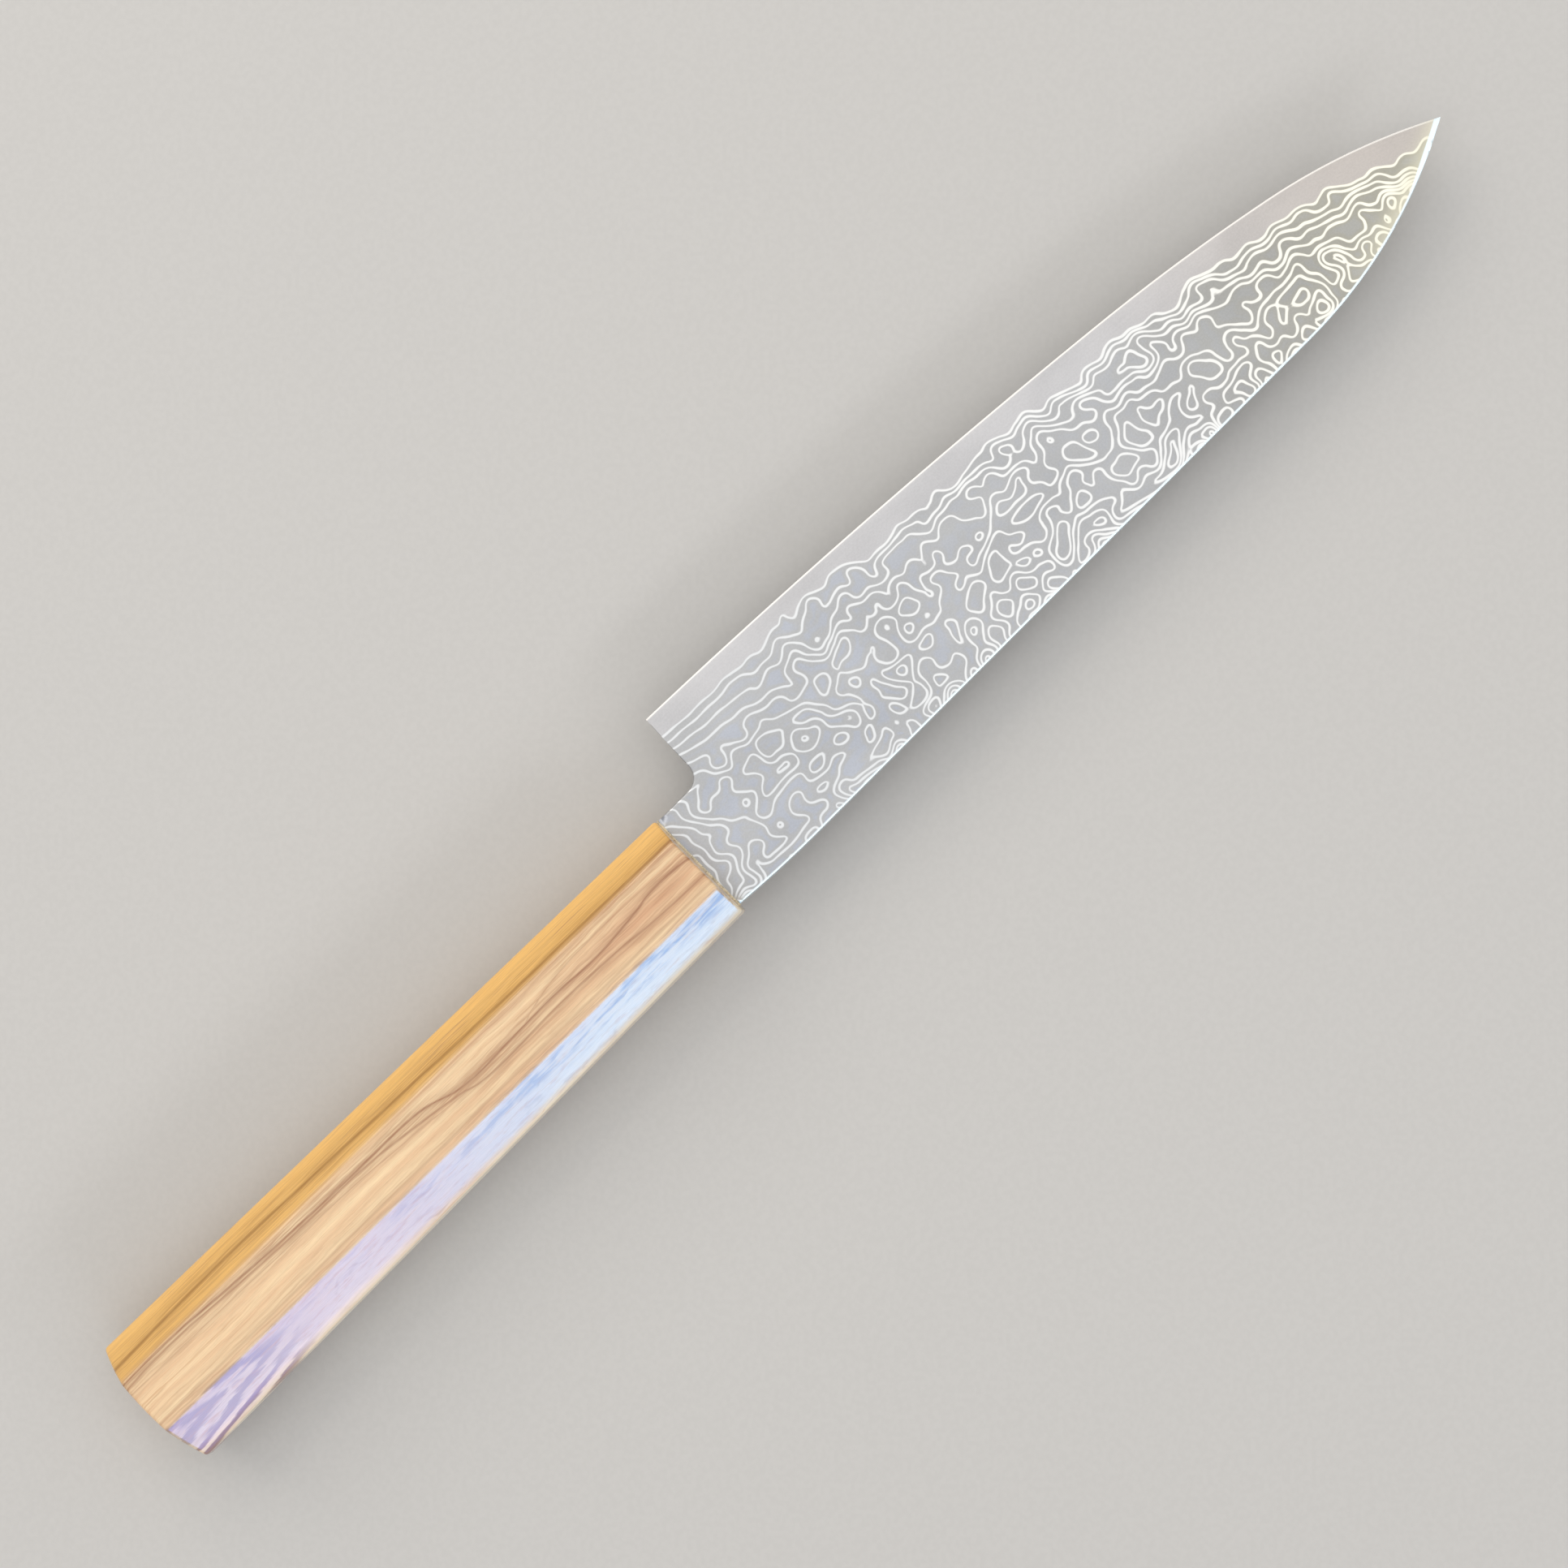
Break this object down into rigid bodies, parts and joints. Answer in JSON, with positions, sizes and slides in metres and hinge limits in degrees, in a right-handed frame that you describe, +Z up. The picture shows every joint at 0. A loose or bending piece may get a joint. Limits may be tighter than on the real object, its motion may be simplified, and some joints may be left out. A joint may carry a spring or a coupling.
{
  "type": "chef knife",
  "caption": "Japanese-style chef knife: clad blade with a wavy layered pattern and plain steel edge, hidden tang, octagonal wooden handle with a domed butt.",
  "frame": {"origin": "bottom centre of the knife's box, with the knife lying level on its side", "axes": "+X along the knife towards the tip, +Y towards the cutting edge, +Z up, square to the blade's middle plane"},
  "size_m": [0.3304, 0.0384, 0.0205],
  "materials": {
    "core_steel": "fine satin, ground along the edge, bright on the sharpening bevel",
    "layered_steel": "etched layered pattern: bright wavy lines and rings on matte grey",
    "olive_wood": "oiled and polished, golden with brown streaks along the handle",
    "adhesive": "hard cream-coloured adhesive"
  },
  "bodies": {
    "root": {"core_steel": "core_steel", "upper_cladding": "layered_steel", "lower_cladding": "layered_steel", "handle": "olive_wood", "tang_adhesive": "adhesive", "neck_seal": "adhesive"}
  },
  "joints": []
}
